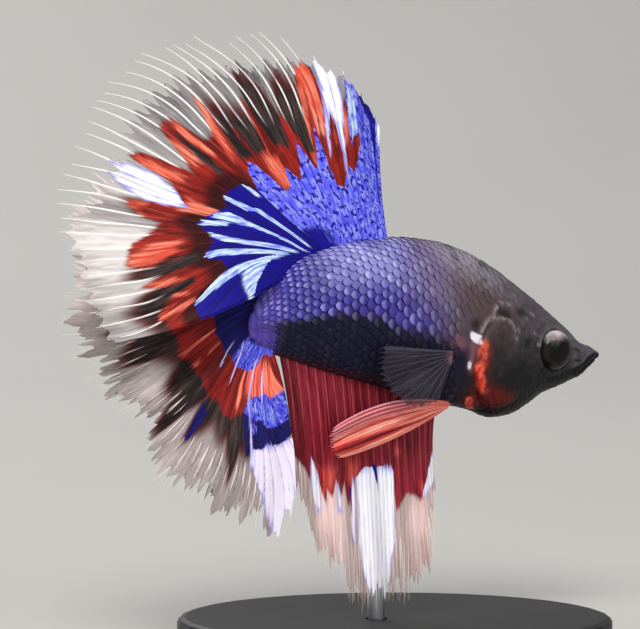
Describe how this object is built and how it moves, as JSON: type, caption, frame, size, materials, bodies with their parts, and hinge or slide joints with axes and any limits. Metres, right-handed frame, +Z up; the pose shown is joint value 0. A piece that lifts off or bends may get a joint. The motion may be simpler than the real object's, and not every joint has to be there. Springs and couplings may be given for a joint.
{
  "type": "betta fish",
  "caption": "Life-size still model of a male halfmoon betta with spread fins, held over an oval base by a slim rod.",
  "frame": {"origin": "middle of the underside of the stand's oval base", "axes": "+X the way the head points across the base, +Y from the fish's right side towards its left, +Z up"},
  "size_m": [0.0571, 0.0381, 0.0627],
  "materials": {
    "head_skin": "moist satin skin, dark grey-brown",
    "jaw_skin": "moist satin skin, near black",
    "gill_skin": "moist satin skin, dark brown with an orange-red hind edge",
    "scale_skin": "iridescent violet-blue scales over navy-black",
    "dorsal_membrane": "royal blue, red and black bands, clear white-rayed margin",
    "caudal_membrane": "maroon and red with a pale translucent frill",
    "anal_membrane": "maroon with a white streak and a pale translucent margin",
    "pectoral_membrane": "smoky translucent membrane",
    "pelvic_membrane": "orange-red rays with a pink upper edge",
    "eye": "glossy dark eye with a brown iris",
    "stand_black": "polished black acrylic",
    "stand_steel": "fine brushed steel"
  },
  "bodies": {
    "root": {"head": "head_skin", "lower_jaw": "jaw_skin", "gill_cover_right": "gill_skin", "gill_cover_left": "gill_skin", "trunk": "scale_skin", "tail_stem": "scale_skin", "eye_right": "eye", "eye_left": "eye", "dorsal_fin": "dorsal_membrane", "caudal_fin": "caudal_membrane", "anal_fin": "anal_membrane", "pectoral_fin_right": "pectoral_membrane", "pectoral_fin_left": "pectoral_membrane", "pelvic_fin_right": "pelvic_membrane", "pelvic_fin_left": "pelvic_membrane", "stand_base": "stand_black", "stand_rod": "stand_steel"}
  },
  "joints": []
}
